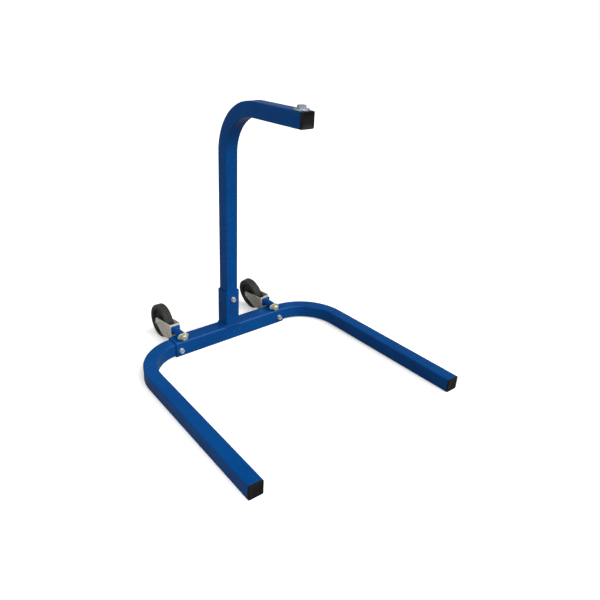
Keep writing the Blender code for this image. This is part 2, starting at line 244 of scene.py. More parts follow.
def roundedOutline(width, height, corner, steps=6):
    points = []
    for quarter, (sx, sy) in enumerate(((1, 1), (-1, 1), (-1, -1), (1, -1))):
        for k in range(steps + 1):
            a = math.radians(90 * quarter + 90 * k / steps)
            x = sx * (width / 2 - corner) + corner * math.cos(a)
            points.append((x, sy * (height / 2 - corner) + corner * math.sin(a)))
    return points


def eased(share):
    # 0 to 1 with a soft start and end
    return share * share * (3 - 2 * share)


def turnedShape(profile, count=64):
    # A closed outline of (radius, height) spun about Z
    bm = bmesh.new()
    skin(bm, [roundRing(r, h, count) for r, h in profile], closed=True)
    return outward(bm)


# Finishes
finishes = {
    "enamelBlue": "00407C",       # gloss blue stoving enamel
    "enamelDeep": "003872",
    "zincBright": "DDE4E7",
    "zincShade": "BCC4C8",
    "zincDullLight": "DAD7C9",
    "zincDullDark": "BAB7AB",
    "zincYellow": "E6DC9C",
    "zincYellowGreen": "C9CC9A",
    "zincYellowPink": "E6C8AE",
    "capBlack": "060607",
    "capScuffed": "111214",
    "hubBlack": "171916",
    "hubShade": "0F110E",
    "rubberBlack": "0A0B08",
    # grey-green tone: partly dust, partly a painted sheen on the tyre
    "rubberDustAndSheen": "23261F",
}


def startFinish(name):
    material = bpy.data.materials.new(name)
    material.use_nodes = True
    tree = material.node_tree
    return material, tree, addNode(tree, "ShaderNodeTexCoord").outputs["Object"]


def endFinish(material, sources, values):
    # Feeds the shader from nodes and sets its plain inputs
    shader = material.node_tree.nodes["Principled BSDF"]
    for name, source in sources.items():
        material.node_tree.links.new(source, shader.inputs[name])
    for name, value in values.items():
        shader.inputs[name].default_value = value
    return material


def noise(tree, where, cell, detail=3.0, roughness=0.5):
    # Cell is the pattern's size in metres
    inputs = {"Scale": 1 / cell, "Detail": detail, "Roughness": roughness}
    return addNode(tree, "ShaderNodeTexNoise", inputs=inputs, links={"Vector": where}).outputs["Fac"]


def ramp(tree, source, *stops):
    # Each stop is a place and the name of a finish, or a place and a grey value
    node = addNode(tree, "ShaderNodeValToRGB", links={"Fac": source})
    elements = node.color_ramp.elements
    shades = [(place, linear(finishes[tone]) if tone in finishes else (tone, tone, tone, 1.0))
              for place, tone in stops]
    elements[0].position, elements[0].color = shades[0]
    elements[1].position, elements[1].color = shades[-1]
    for place, colour in shades[1:-1]:
        elements.new(place).color = colour
    return node.outputs["Color"]


def bumps(tree, *layers):
    # Each layer is (height, depth in metres, strength), stacked one on the next
    normal = None
    for height, depth, strength in layers:
        links = {"Height": height}
        if normal:
            links["Normal"] = normal
        inputs = {"Strength": strength, "Distance": depth}
        normal = addNode(tree, "ShaderNodeBump", inputs=inputs, links=links).outputs["Normal"]
    return normal


def makeBlueEnamel():
    # Sprayed gloss enamel on steel tube: deep even blue, smeared gloss, faint orange peel of about 3 mm
    material, tree, where = startFinish("blueStovingEnamel")
    return endFinish(material, {
        "Base Color": ramp(tree, noise(tree, where, 0.09), (0.3, "enamelDeep"), (0.7, "enamelBlue")),
        "Roughness": ramp(tree, noise(tree, where, 0.018, 4.0), (0.35, 0.20), (0.75, 0.30)),
        "Normal": bumps(tree, (noise(tree, where, 0.0032, 1.0), 0.00012, 0.10)),
    }, {"IOR": 1.5, "Specular IOR Level": 0.15})


def makePlating(name, light, dark, cell, rough, metallic):
    # Electroplated steel: the sheet's own grain and drying marks show through the thin bright layer
    material, tree, where = startFinish(name)
    spangle = addNode(tree, "ShaderNodeTexVoronoi", inputs={"Scale": 1 / 0.0016}, links={"Vector": where})
    spots = spangle.outputs["Distance"]
    drawn = addNode(tree, "ShaderNodeMapping", inputs={"Scale": (1.0, 1.0, 9.0)}, links={"Vector": where})
    lines = noise(tree, drawn.outputs["Vector"], 0.002, 3.0, 0.7)
    return endFinish(material, {
        "Base Color": ramp(tree, noise(tree, where, cell, 4.0, 0.6), (0.32, dark), (0.68, light)),
        "Roughness": ramp(tree, spots, (0.1, rough - 0.07), (0.9, rough + 0.08)),
        "Normal": bumps(tree, (lines, 0.00004, 0.25), (spots, 0.00003, 0.2)),
    }, {"Metallic": metallic})


def makeYellowZinc():
    # Yellow-passivated zinc: straw yellow that drifts to green and pink from place to place
    material, tree, where = startFinish("yellowPassivatedZinc")
    drift = noise(tree, where, 0.006, 2.0)
    fine = noise(tree, where, 0.0008, 3.0)
    tones = (0.30, "zincYellowGreen"), (0.52, "zincYellow"), (0.72, "zincYellowPink")
    return endFinish(material, {
        "Base Color": ramp(tree, drift, *tones),
        "Roughness": ramp(tree, fine, (0.3, 0.26), (0.7, 0.40)),
        "Normal": bumps(tree, (fine, 0.00003, 0.3)),
    }, {"Metallic": 0.8})


def makeCapPlastic():
    # Moulded black polyethylene: soft shine, fine spark-eroded grain, scuffed a little paler
    material, tree, where = startFinish("mouldedBlackPolyethylene")
    scuffs = noise(tree, where, 0.011, 5.0, 0.65)
    grain = noise(tree, where, 0.0006, 2.0)
    return endFinish(material, {
        "Base Color": ramp(tree, scuffs, (0.45, "capBlack"), (0.85, "capScuffed")),
        "Roughness": ramp(tree, grain, (0.3, 0.38), (0.7, 0.52)),
        "Normal": bumps(tree, (grain, 0.00006, 0.35)),
    }, {"IOR": 1.51, "Specular IOR Level": 0.2})


def makeHubPlastic():
    # Moulded black polypropylene: dull, with flow marks
    material, tree, where = startFinish("mouldedBlackPolypropylene")
    grain = noise(tree, where, 0.0009, 2.0)
    return endFinish(material, {
        "Base Color": ramp(tree, noise(tree, where, 0.014, 4.0), (0.35, "hubShade"), (0.75, "hubBlack")),
        "Roughness": ramp(tree, grain, (0.3, 0.42), (0.7, 0.56)),
        "Normal": bumps(tree, (grain, 0.00008, 0.35)),
    }, {"IOR": 1.49})


def makeRubber():
    # Vulcanised black rubber: matt, with random grey-green patches that are partly dust and partly a painted
    # sheen
    material, tree, where = startFinish("vulcanisedBlackRubber")
    dustAndSheen = noise(tree, where, 0.012, 6.0, 0.7)
    pores = noise(tree, where, 0.0008, 3.0, 0.6)
    return endFinish(material, {
        "Base Color": ramp(tree, dustAndSheen, (0.35, "rubberBlack"), (0.8, "rubberDustAndSheen")),
        "Roughness": ramp(tree, pores, (0.3, 0.62), (0.7, 0.85)),
        "Normal": bumps(tree, (pores, 0.00012, 0.5)),
    }, {"IOR": 1.52, "Sheen Weight": 0.15})


blueEnamel = makeBlueEnamel()
brightZinc = makePlating("brightZincPlate", "zincBright", "zincShade", 0.009, 0.27, 0.80)
dullZinc = makePlating("dullZincPressing", "zincDullLight", "zincDullDark", 0.022, 0.46, 0.30)
yellowZinc = makeYellowZinc()
capPlastic = makeCapPlastic()
hubPlastic = makeHubPlastic()
blackRubber = makeRubber()
placeCamera()
buildStudio()
print("camera, studio and finishes ready")


# Square tubes
tubeShape = {
    "wall": 3.0 * mm,
    "barWall": 4.0 * mm,
    "corner": 5.0 * mm,
    "barCorner": 6.0 * mm,
    "leastCorner": 0.8 * mm,
    "cornerSteps": 7,
    "faceSteps": 6,          # across each flat, so that the bends can dish
    "bendRadius": 0.165,
    "bendSteps": 44,
    "blendLength": 28 * mm,  # of straight tube that the bend's shape runs out into
    "blendStrength": 0.35,   # of the bend's shape where the bend starts
    "fullAfter": 40 * mm,    # along the bend
    "dish": 1.1 * mm,        # how far the outer wall of a bend sinks
    "pinch": 0.7 * mm,       # and the inner wall
    "swell": 0.4 * mm,       # and the sides stand out
    "sawEdge": 0.4 * mm,
}


def squareOutline(side, corner):
    # Counter-clockwise from the middle of +U, as (u, v)
    points = []
    half = side / 2
    centre = half - corner
    for quarter in range(4):
        turn = Matrix.Rotation(math.radians(90 * quarter), 2)
        for k in range(tubeShape["faceSteps"]):
            v = -half + corner + (side - 2 * corner) * k / tubeShape["faceSteps"]
            points.append(turn @ Vector((half, v)))
        for k in range(tubeShape["cornerSteps"]):
            a = math.radians(90 * k / tubeShape["cornerSteps"])
            points.append(turn @ Vector((centre + corner * math.cos(a), centre + corner * math.sin(a))))
    return points


def bentSection(outline, side, bend):
    # U points to the middle of the bend; the walls sink and swell with the bend's strength
    shaped = []
    for u, v in outline:
        across = max(0.0, 1 - (2 * v / side) ** 2)
        along = max(0.0, 1 - (2 * u / side) ** 2)
        if u < 0:
            u += bend * tubeShape["dish"] * across * min(1.0, (-2 * u / side) ** 4)
        else:
            u -= bend * tubeShape["pinch"] * across * min(1.0, (2 * u / side) ** 4)
        v += math.copysign(bend * tubeShape["swell"] * along * min(1.0, (2 * abs(v) / side) ** 4), v)
        shaped.append((u, v))
    return shaped


def tubeMesh(side, wall, corner, stations):
    # Stations are (centre, towards the bend's middle, third direction, bend strength) from end to end
    edge = tubeShape["sawEdge"]
    first, last, middle = stations[0], stations[-1], stations[1:-1]

    def ring(station, size, cornerSize, shift=0.0):
        centre, toMiddle, third, bend = station
        along = toMiddle.cross(third)
        outline = bentSection(squareOutline(size, cornerSize), side, bend)
        return [centre + along * shift + toMiddle * u + third * v for u, v in outline]

    inner = side - 2 * wall
    innerCorner = max(corner - wall, tubeShape["leastCorner"])
    run = 1 if (last[0] - first[0]).dot(first[1].cross(first[2])) > 0 else -1
    rings = [ring(first, side - 2 * edge, corner - edge), ring(first, side, corner, run * edge)]
    rings += [ring(s, side, corner) for s in middle]
    rings += [ring(last, side, corner, -run * edge), ring(last, side - 2 * edge, corner - edge)]
    rings += [ring(s, inner, innerCorner) for s in (last, *reversed(middle), first)]
    bm = bmesh.new()
    skin(bm, rings, closed=True)
    return outward(bm)


def straightStations(start, end, toMiddle, third, count):
    start, end = Vector(start), Vector(end)
    return [(start.lerp(end, i / (count - 1)), Vector(toMiddle), Vector(third), 0.0) for i in range(count)]


def bentStations(start, along, toMiddle, length, radius, angle, after):
    # A straight run, a bend through the angle towards toMiddle, and a second straight run
    start, along, toMiddle = Vector(start), Vector(along), Vector(toMiddle)
    third = along.cross(toMiddle)
    blend, entry = tubeShape["blendLength"], tubeShape["blendStrength"]
    lead = 0.98 * min(blend, length * 0.9)        # stops short of the tube's end
    stations = [(start, toMiddle, third, 0.0)]
    for k in range(5):
        share = k / 4
        spot = start + along * (length - lead * (1 - share))
        stations.append((spot, toMiddle, third, entry * eased(share)))
    steps = tubeShape["bendSteps"]
    middle = start + along * length + toMiddle * radius
    for k in range(1, steps + 1):
        a = angle * k / steps
        inward = toMiddle * math.cos(a) - along * math.sin(a)
        arc = radius * a
        share = min(1.0, min(arc, radius * angle - arc) / tubeShape["fullAfter"])
        stations.append((middle - inward * radius, inward, third, entry + (1 - entry) * eased(share)))
    inward = toMiddle * math.cos(angle) - along * math.sin(angle)
    onward = along * math.cos(angle) + toMiddle * math.sin(angle)
    bendEnd = middle - inward * radius
    for k in range(1, 5):
        share = 1 - k / 4
        stations.append((bendEnd + onward * blend * (1 - share), inward, third, entry * eased(share)))
    stations.append((bendEnd + onward * after, inward, third, 0.0))
    return stations


def makeMast():
    low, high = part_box("mast")
    side = high.x - low.x
    axisY = high.y - side / 2
    armHeight = high.z - side / 2
    reach = axisY - low.y
    radius = tubeShape["bendRadius"]
    stations = bentStations((0, axisY, low.z), (0, 0, 1), (0, -1, 0), armHeight - radius - low.z, radius,
                            math.radians(90), reach - radius)
    makeTube("mastTube", "mast", side, "wall", "corner", stations)
    return armHeight, reach


def makeTube(name, node, side, wall, corner, stations, placed=Matrix.Identity(4)):
    bm = move(tubeMesh(side, tubeShape[wall], tubeShape[corner], stations), placed)
    settle(newPiece(name, bm, blueEnamel), "frame", "blue_enamel", node)


def makeCrossbarAndSocket():
    low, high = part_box("crossbar")
    y, z = (low.y + high.y) / 2, (low.z + high.z) / 2
    stations = straightStations((low.x, y, z), (high.x, y, z), (0, -1, 0), (0, 0, -1), 9)
    makeTube("crossbarTube", "crossbar", high.z - low.z, "barWall", "barCorner", stations)
    low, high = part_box("mast_socket")
    stations = straightStations((0, 0, low.z), (0, 0, high.z), (0, -1, 0), (1, 0, 0), 5)
    makeTube("mastSocketTube", "mast_socket", high.x - low.x, "barWall", "barCorner", stations)


legBends = {
    "side": 50 * mm,
    "left": {"start": 0.2395, "angle": 88.5},
    "right": {"start": 0.2525, "angle": 90.0},
    "plugIn": 0.120,
    "reach": 0.750,
    "axisHeight": 0.030,
    "endHeight": 0.025,
}


def sagMatrix():
    # The legs hang down a little in the crossbar until their far ends meet the floor
    pivot = Vector((0, 0, legBends["axisHeight"]))
    sag = math.atan2(legBends["axisHeight"] - legBends["endHeight"], legBends["reach"])
    return Matrix.Translation(pivot) @ Matrix.Rotation(sag, 4, "X")


def makeLegs():
    ends = {}
    radius = tubeShape["bendRadius"]
    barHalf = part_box("crossbar")[1].x
    for side, sign in sides:
        start, angle = legBends[side]["start"], math.radians(legBends[side]["angle"])
        plug = barHalf - legBends["plugIn"]
        run = (legBends["reach"] - radius * (1 - math.cos(angle))) / math.sin(angle)
        stations = bentStations((sign * plug, 0, 0), (sign, 0, 0), (0, -1, 0), start - plug, radius, angle,
                                run)
        node = side + "_leg"
        makeTube(side + "LegTube", node, legBends["side"], "wall", "corner", stations, sagMatrix())
        ends[side] = (stations[-1][0].copy(), sign * (math.radians(90) - angle))
    return ends


armHeight, armReach = makeMast()
makeCrossbarAndSocket()
legEnds = makeLegs()
print("tubes made")


# End caps
capShape = {
    "side": 49.4 * mm,
    "corner": 5 * mm,
    "gap": 0.3 * mm,
    "thick": 5.0 * mm,
    "edge": 1.2 * mm,
    "dish": 0.5 * mm,
    "plug": 10 * mm,
    "plugSide": 43.4 * mm,
    "plugNeck": 42.4 * mm,      # between the barbs
    "plugTip": 40.8 * mm,
    "plugCorner": 2 * mm,
}


def capMesh():
    # Facing +Z: a flange with rounded edges, a slightly dished face and a plug with two barbs
    c = capShape
    side, gap, thick, edge, plug = c["side"], c["gap"], c["thick"], c["edge"], c["plug"]
    wide, soft = c["plugSide"], c["plugCorner"]
    sunk = thick - c["dish"]
    levels = [(c["plugTip"], -plug, 1.6 * mm), (wide, -plug + 1 * mm, soft)]
    for k in range(2):
        z = -plug + (2.5 + 3 * k) * mm
        levels += [(wide, z, soft), (c["plugNeck"], z + 0.3 * mm, soft), (wide, z + 1.6 * mm, soft)]
    levels += [(wide, gap, soft), (side - 0.6 * mm, gap, 4.7 * mm), (side, gap + 0.4 * mm, c["corner"])]
    for k in range(6):
        a = math.radians(90 * k / 5)
        inset = edge * (1 - math.cos(a))
        levels.append((side - 2 * inset, thick - edge + edge * math.sin(a), c["corner"] - inset))
    levels.append((side - 2 * edge - 3.0 * mm, thick - 0.12 * mm, 3.2 * mm))
    levels += [(side - 2 * edge - 4.4 * mm, sunk, 2.6 * mm), (10 * mm, sunk, 1.0 * mm)]
    bm = bmesh.new()
    skin(bm, [[Vector((u, v, z)) for u, v in squareOutline(size, corner)] for size, z, corner in levels])
    return outward(bm)


def makeCaps():
    def cap(name, node, placed):
        bm = move(capMesh(), placed @ Matrix.Rotation(math.radians(90), 4, "X"))
        settle(newPiece(name, bm, capPlastic), "frame", "black_plastic", node)

    cap("armEndCap", "arm_cap", Matrix.Translation((0, -armReach, armHeight)))
    for side, sign in sides:
        centre, turn = legEnds[side]
        placed = sagMatrix() @ Matrix.Translation(centre) @ Matrix.Rotation(turn, 4, "Z")
        cap(side + "LegEndCap", side + "_leg_cap", placed)


makeCaps()
print("caps made")


# Fasteners
fastenerSizes = {
    "M8": {"shank": 8.0, "flats": 13.0, "head": 5.3, "nut": 6.5, "pitch": 1.25},
    "M10": {"shank": 10.0, "flats": 17.0, "head": 6.4, "nut": 8.4, "washer": 20.0, "thick": 2.0,
            "pitch": 1.5},
    "M16": {"shank": 16.0, "flats": 24.0, "head": 10.0, "nut": 13.0, "thick": 3.0, "pitch": 2.0},
}
perFlat = 8
hexCount = 6 * perFlat
clearance = 0.3 * mm


def inMetres(size):
    return {key: value * mm for key, value in fastenerSizes[size].items()}


def hexRadius(flats, i):
    within = (i % perFlat) / perFlat * 60 - 30
    return flats / 2 / math.cos(math.radians(within))


def hexRings(flats, bottom, top, bothEnds):
    # Side of a hexagon with its top, or both ends, cut by a 30 degree cone: a curved edge on each flat
    reach = flats / 2 * 0.955

    def cut(i):
        return (hexRadius(flats, i) - reach) * math.tan(math.radians(30))

    def rim(i, radius, z):
        a = math.tau * i / hexCount
        return Vector((radius * math.cos(a), radius * math.sin(a), z))

    count = range(hexCount)
    rings = [[rim(i, reach, bottom) for i in count]] if bothEnds else []
    rings.append([rim(i, hexRadius(flats, i), bottom + (cut(i) if bothEnds else 0)) for i in count])
    rings.append([rim(i, hexRadius(flats, i), top - cut(i)) for i in count])
    rings.append([rim(i, reach, top) for i in count])
    return rings


def boltMesh(size, length):
    s = inMetres(size)
    radius, flats, head = s["shank"] / 2, s["flats"], s["head"]
    core = radius - 0.1 * mm
    face = 0.4 * mm
    below = ((radius - 1 * mm, -length), (core, -length + 0.9 * mm), (core, 0), (flats * 0.475, 0),
             (flats * 0.475, face))
    above = ((flats * 0.40, head - 0.02 * mm), (flats * 0.37, head - 0.35 * mm),
             (flats * 0.10, head - 0.40 * mm))        # the sunk middle of a forged head
    bm = bmesh.new()
    skin(bm, [roundRing(r, z, hexCount) for r, z in below] + hexRings(flats, face, head, False)
         + [roundRing(r, z, hexCount) for r, z in above])
    return outward(bm)


def nutMesh(size):
    s = inMetres(size)
    top, chamfer = s["nut"], 0.8 * mm
    bore = s["shank"] / 2 + clearance
    rings = [roundRing(bore, chamfer, hexCount), roundRing(bore + chamfer, 0, hexCount)]
    rings += hexRings(s["flats"], 0, top, True)
    rings += [roundRing(bore + chamfer, top, hexCount), roundRing(bore, top - chamfer, hexCount)]
    bm = bmesh.new()
    skin(bm, rings, closed=True)
    return outward(bm)


def washerMesh(size, outside, stretch):
    s = inMetres(size)
    bore = s["shank"] / 2 + clearance
    edge, thick = 0.35 * mm, s["thick"]
    rim = outside or s["washer"] / 2
    rings = [roundRing(bore, edge), roundRing(bore + edge, 0)]
    for radius, z in ((rim - edge, 0), (rim, edge), (rim, thick - edge), (rim - edge, thick)):
        rings.append(roundRing(radius, z, stretch=stretch))
    rings += [roundRing(bore + edge, thick), roundRing(bore, thick - edge)]
    bm = bmesh.new()
    skin(bm, rings, closed=True)
    return outward(bm)


def openTree(name, given):
    # A Geometry Nodes tree that takes a geometry, the inputs given as (name, kind, value), and a finish
    tree = bpy.data.node_groups.new(name, "GeometryNodeTree")
    face = tree.interface
    face.new_socket("Geometry", in_out="INPUT", socket_type="NodeSocketGeometry")
    for label, kind, value in given:
        face.new_socket(label, in_out="INPUT", socket_type="NodeSocket" + kind).default_value = value
    face.new_socket("Finish", in_out="INPUT", socket_type="NodeSocketMaterial")
    face.new_socket("Geometry", in_out="OUTPUT", socket_type="NodeSocketGeometry")
    return tree, addNode(tree, "NodeGroupInput").outputs


def closeTree(tree, geometry, finish):
    links = {"Geometry": geometry, "Material": finish}
    painted = addNode(tree, "GeometryNodeSetMaterial", links=links)
    addNode(tree, "NodeGroupOutput", links={"Geometry": painted.outputs["Geometry"]})
    return tree


def circleProfile(tree, corners, radius):
    inputs = {"Resolution": corners}
    node = addNode(tree, "GeometryNodeCurvePrimitiveCircle", {"mode": "RADIUS"}, inputs, {"Radius": radius})
    return node.outputs["Curve"]


def sweep(tree, curve, profile):
    links = {"Curve": curve, "Profile Curve": profile}
    return addNode(tree, "GeometryNodeCurveToMesh", inputs={"Fill Caps": True}, links=links).outputs["Mesh"]


def threadGeometry():
    # A ridge wound on a cylinder: a spiral swept with a four-cornered profile
    tree, given = openTree("threadRidge", (("Thread Radius", "Float", 4 * mm), ("Pitch", "Float", 1.25 * mm),
                                           ("Thread Length", "Float", 5 * mm)))
    turns = addNode(tree, "ShaderNodeMath", {"operation": "DIVIDE"})
    tree.links.new(given["Thread Length"], turns.inputs[0])
    tree.links.new(given["Pitch"], turns.inputs[1])
    spiral = addNode(tree, "GeometryNodeCurveSpiral", inputs={"Resolution": 40}, links={
        "Rotations": turns.outputs[0], "Start Radius": given["Thread Radius"],
        "End Radius": given["Thread Radius"], "Height": given["Thread Length"]})
    profile = circleProfile(tree, 4, scaled(tree, given["Pitch"], 0.46))
    swept = sweep(tree, spiral.outputs["Curve"], profile)
    real = addNode(tree, "GeometryNodeRealizeInstances", links={"Geometry": swept})
    return closeTree(tree, real.outputs["Geometry"], given["Finish"])


def runGeometry(name, tree, source, values):
    # Puts the tree on the source object, reads the finished mesh off it and clears the source away
    modifier = source.modifiers.new("geometry", "NODES")
    modifier.node_group = tree
    sockets = {item.name: item.identifier for item in tree.interface.items_tree if item.in_out == "INPUT"}
    for label, value in values.items():
        modifier[sockets[label]] = value
    bpy.context.view_layer.update()
    graph = bpy.context.evaluated_depsgraph_get()
    mesh = bpy.data.meshes.new_from_object(source.evaluated_get(graph), preserve_all_data_layers=True,
                                           depsgraph=graph)
    source.modifiers.remove(modifier)
    bpy.data.objects.remove(source)
    mesh.name = name
    return mesh


threadTree = threadGeometry()


def addThread(bm, size, length, turn):
    # Winds a thread on the last stretch of a bolt, which ends at -length, and places it
    s = inMetres(size)
    pitch = s["pitch"]
    run = min(length, s["nut"] + 6 * mm)
    seed = bpy.data.meshes.new("seed")
    seed.from_pydata([(0, 0, 0)], [], [])
    mesh = runGeometry("thread", threadTree, addObject("seed", seed), {
        "Thread Radius": s["shank"] / 2 - 0.32 * pitch, "Pitch": pitch, "Thread Length": run - pitch,
        "Finish": brightZinc})
    mesh.transform(Matrix.Translation((0, 0, -length + 0.4 * pitch)))
    takeIn(bm, mesh)
    return move(bm, turn)


casterShape = {
    "rightLean": 11,         # degrees about the king bolt, top towards -X
}


def nodeCentre(node):
    low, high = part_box(node)
    return (low + high) / 2


def place(node, axis, inset=0.0):
    # Where the piece's seat is: on the node's face that looks against the axis
    low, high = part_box(node)
    axis = Vector(axis)
    half = abs((high - low).dot(axis)) / 2
    return Matrix.Translation((low + high) / 2 - axis * (half - inset)) @ toward(axis)


def casterLean(side):
    # The left caster stands upright; this carries a piece from its place there to the side asked for
    if side == "left":
        return Matrix.Identity(4)
    kings = {key: nodeCentre(key + "_caster_nut") * Vector((1, 0, 1)) for key, sign in sides}
    lean = Matrix.Rotation(math.radians(-casterShape["rightLean"]), 4, "Y")
    return Matrix.Translation(kings["right"]) @ lean @ Matrix.Translation(-kings["left"])


def rolled(degrees):
    return Matrix.Rotation(math.radians(degrees), 4, "Z")


def boltPiece(name, node, size, axis, roll, like=None, lean=Matrix.Identity(4)):
    # Like is the node whose box gives the place, before the lean
    low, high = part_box(like or node)
    length = abs((high - low).dot(Vector(axis))) - fastenerSizes[size]["head"] * mm
    seat = lean @ place(like or node, axis, length) @ rolled(roll)
    piece = newPiece(name, addThread(boltMesh(size, length), size, length, seat), brightZinc, sharp=32)
    settle(piece, "frame", "bright_zinc", node)


def nutPiece(name, node, size, axis, roll, like=None, lean=Matrix.Identity(4), finish=brightZinc,
             slotName="bright_zinc"):
    bm = move(nutMesh(size), lean @ place(like or node, axis) @ rolled(roll))
    settle(newPiece(name, bm, finish, sharp=32), "frame", slotName, node)


def washerPiece(name, node, size, axis, outside=None, stretch=1.0):
    bm = move(washerMesh(size, outside, stretch), place(node, axis))
    settle(newPiece(name, bm, brightZinc, sharp=32), "frame", "bright_zinc", node)


def makeFasteners():
    front, back, up, left, right = (0, -1, 0), (0, 1, 0), (0, 0, 1), (-1, 0, 0), (1, 0, 0)
    lockBolts = ("mast", "mast", 12), ("left_leg", "leftLeg", 4), ("right_leg", "rightLeg", 21)
    for node, label, roll in lockBolts:
        boltPiece(label + "Bolt", node + "_bolt", "M10", front, roll)
        washerPiece(label + "FrontWasher", node + "_bolt_washer", "M10", front)
        washerPiece(label + "RearWasher", node + "_nut_washer", "M10", back)
        nutPiece(label + "Nut", node + "_nut", "M10", back, roll + 7)
    boltPiece("armBolt", "arm_bolt", "M16", up, 17)
    washerPiece("armWasher", "arm_washer", "M16", up, outside=24 * mm)
    nutPiece("armInnerNut", "arm_inner_nut", "M16", up, 0)
    for side, sign in sides:
        lean = casterLean(side)
        boltPiece(side + "CasterBolt", side + "_caster_bolt", "M16", back, 9)
        low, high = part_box(side + "_caster_washer")
        washerPiece(side + "CasterWasher", side + "_caster_washer", "M16", front,
                    (high.z - low.z) / 2, (high.x - low.x) / (high.z - low.z))
        nutPiece(side + "CasterNut", side + "_caster_nut", "M16", front, 14, finish=yellowZinc,
                 slotName="yellow_zinc")
        boltPiece(side + "AxleBolt", side + "_axle_bolt", "M8", left, 11, "left_axle_bolt", lean)
        nutPiece(side + "AxleNut", side + "_axle_nut", "M8", right, 25, "left_axle_nut", lean)


makeFasteners()
print("fasteners made")


# Caster brackets and forks
bracketShape = {
    "sleeveRadius": 13.45 * mm,
    "bore": 8.5 * mm,
    "chamfer": 0.8 * mm,
    "plateCorner": 4.0 * mm,
    "plateEdge": 0.7 * mm,
    "plateThick": 5.0 * mm,
}

forkShape = {
    "wall": 2.5 * mm,
    "fold": 5.5 * mm,
    "top": 98 * mm,
    "webLow": 46 * mm,
    "heel": (64 * mm, 31 * mm),
    "belly": (108 * mm, 27.5 * mm),
    "rise": 29,              # rows up the sheet
    "pressing": 0.9 * mm,    # raised ring round the axle
    "pressRadius": 10.5 * mm,
    "pressSlope": 2.2 * mm,
    "edge": 0.35 * mm,
    "soft": 5 * mm,          # rounding of the outline's lower corners
    "stepsAlong": 64,
}


def makeBracket(side):
    low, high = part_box(side + "_caster_bracket")
    b = bracketShape
    axisZ = low.z + b["sleeveRadius"]
    midX, midZ = (low.x + high.x) / 2, (low.z + high.z) / 2
    thick, c, e = b["plateThick"], b["chamfer"], b["plateEdge"]
    plateFront = high.y - thick
    length = plateFront - low.y + 1 * mm
    outer, inner = b["sleeveRadius"], b["bore"]
    sleeve = turnedShape([(inner, 0), (outer - c, 0), (outer, c), (outer, length), (inner, length)], 56)
    move(sleeve, Matrix.Translation((midX, low.y, axisZ)) @ Matrix.Rotation(math.radians(-90), 4, "X"))
    width, height = high.x - low.x, high.z - low.z
    rings = []
    nearEdge = ((e, 0), (0.3 * e, 0.3 * e), (0, e))
    for inset, y in nearEdge + tuple((inset, thick - y) for inset, y in reversed(nearEdge)):
        outline = roundedOutline(width - 2 * inset, height - 2 * inset, b["plateCorner"] - inset)
        rings.append([Vector((midX + x, plateFront + y, midZ + z)) for x, z in outline])
    plate = bmesh.new()
    skin(plate, rings)
    outward(plate)
    mesh = bpy.data.meshes.new("plate")
    plate.to_mesh(mesh)
    plate.free()
    takeIn(sleeve, mesh)
    piece = newPiece(side + "CasterBracket", sleeve, blueEnamel)
    settle(piece, "frame", "blue_enamel", side + "_caster_bracket")
    return midX, axisZ, low.y, plateFront


def smoothLowest(a, b, soft):
    # The lower of the two, with the corner between them rounded
    h = max(0.0, min(1.0, 0.5 + 0.5 * (b - a) / soft))
    return b * (1 - h) + a * h - soft * h * (1 - h)


